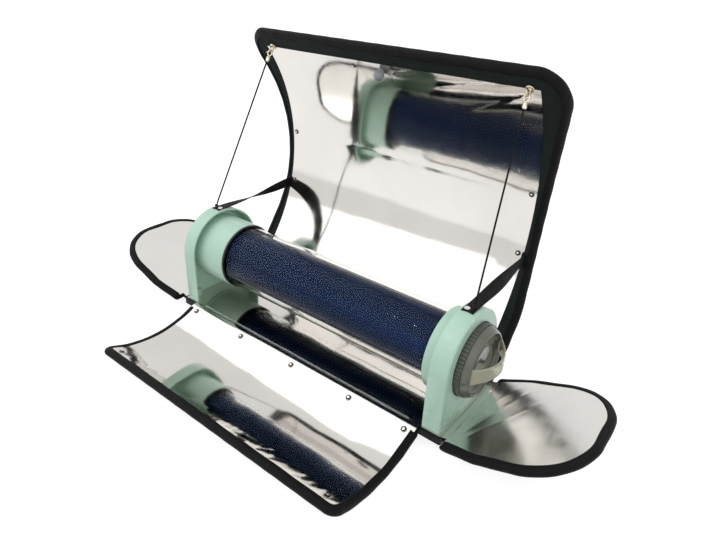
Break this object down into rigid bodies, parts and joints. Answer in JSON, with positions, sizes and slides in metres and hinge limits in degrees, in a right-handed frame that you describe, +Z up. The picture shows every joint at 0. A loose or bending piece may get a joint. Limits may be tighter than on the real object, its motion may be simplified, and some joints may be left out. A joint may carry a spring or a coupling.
{
  "type": "parabolic solar cooker",
  "caption": "Folding solar cooker: a glass vacuum tube with a slide-out food tray in two end stands, between curved mirror panels hinged to a padded base.",
  "frame": {"origin": "on the ground, under the tube's axis, midway between the stands' outer faces", "axes": "+X along the tube to the lid, +Y to the back reflector, +Z up"},
  "size_m": [1.0148, 0.5169, 0.5352],
  "materials": {
    "mint_plastic": "moulded, satin gloss",
    "clear_glass": "clear polished borosilicate",
    "absorber_coating": "dark blue selective coating on glass",
    "mirror_film": "metallised film",
    "casing_fabric": "black woven cover over foam",
    "facing_fabric": "dark grey facing",
    "binding_tape": "black woven binding",
    "webbing": "black webbing",
    "cord_braid": "black braided cord",
    "foam_pad": "moulded closed-cell pad",
    "board": "stiff board",
    "stay_plastic": "black stiff sheet plastic",
    "clear_strip": "clear plastic",
    "black_rubber": "satin",
    "silicone": "translucent silicone",
    "steel": "stainless sheet",
    "bright_metal": "nickel plated",
    "hook_metal": "pale plated brass",
    "rivet_white": "white lacquer",
    "knob_grey": "dark grey",
    "ring_plastic": "dark grey, knurled",
    "smoky_plastic": "smoky translucent"
  },
  "bodies": {
    "base": {"base_foot_pad": "foam_pad", "base_casing": "casing_fabric", "base_board": "board", "base_mirror": "mirror_film", "base_front_strip": "clear_strip", "stand_screws": "steel", "left_stand": "mint_plastic", "right_stand": "mint_plastic", "left_collar": "mint_plastic", "right_collar": "mint_plastic", "left_tube_sleeve": "black_rubber", "right_tube_sleeve": "black_rubber", "outer_glass_tube": "clear_glass", "absorber_tube": "absorber_coating", "tube_support_clip": "steel", "tube_tail_cushion": "black_rubber", "left_strap": "webbing", "right_strap": "webbing", "left_strap_rivet": "rivet_white", "right_strap_rivet": "rivet_white", "left_cord": "cord_braid", "right_cord": "cord_braid", "left_cord_knot": "cord_braid", "right_cord_knot": "cord_braid", "front_hinge_piping": "binding_tape", "back_hinge_piping": "binding_tape", "left_hinge_piping": "binding_tape", "left_flap_stay": "stay_plastic"},
    "food_tray_body": {"food_tray": "steel", "tray_screws": "steel", "lid_bung": "silicone", "lid_gasket": "black_rubber", "lid_ring": "ring_plastic", "lid_cap": "smoky_plastic", "lid_handle": "smoky_plastic"},
    "back_reflector": {"back_casing": "casing_fabric", "back_binding": "binding_tape", "back_mirror": "mirror_film", "back_facing": "facing_fabric", "back_snaps": "bright_metal", "closing_knob": "knob_grey", "left_cord_eye": "hook_metal", "right_cord_eye": "hook_metal", "left_cord_hook": "hook_metal", "right_cord_hook": "hook_metal"},
    "front_reflector": {"front_casing": "casing_fabric", "front_binding": "binding_tape", "front_mirror": "mirror_film", "front_snaps": "bright_metal"},
    "left_flap": {"left_flap_casing": "casing_fabric", "left_flap_binding": "binding_tape", "left_flap_film": "mirror_film"},
    "right_flap_hinge": {"right_hinge_piping": "binding_tape", "right_flap_stay": "stay_plastic"},
    "right_flap": {"right_flap_casing": "casing_fabric", "right_flap_binding": "binding_tape", "right_flap_film": "mirror_film"}
  },
  "joints": [
    {"name": "tray_slide", "type": "slide", "parent": "base", "child": "food_tray_body", "axis": [1, 0, 0], "range_m": [0, 0.4]},
    {"name": "back_fold", "type": "hinge", "parent": "base", "child": "back_reflector", "pos_m": [0, 0.0975, 0.0298], "axis": [1, 0, 0], "range_deg": [0, 40], "deforming": ["left_cord", "right_cord", "left_strap", "right_strap"]},
    {"name": "front_fold", "type": "hinge", "parent": "base", "child": "front_reflector", "pos_m": [0, -0.09, 0.0292], "axis": [1, 0, 0], "range_deg": [-95, 0]},
    {"name": "left_flap_fold", "type": "hinge", "parent": "base", "child": "left_flap", "pos_m": [-0.3072, 0, 0.0292], "axis": [0, -1, 0], "range_deg": [-68, 0]},
    {"name": "right_flap_give", "type": "hinge", "parent": "base", "child": "right_flap_hinge", "pos_m": [0.3072, 0, 0.0292], "axis": [0, 1, 0], "range_deg": [0, 25.3]},
    {"name": "right_flap_fold", "type": "hinge", "parent": "right_flap_hinge", "child": "right_flap", "pos_m": [0.3072, 0, 0.0292], "axis": [0, 1, 0], "range_deg": [-37, 0]}
  ],
  "couplings": [
    {"joint": "right_flap_give", "follows": "tray_slide", "rad_per_m": 1.1}
  ]
}
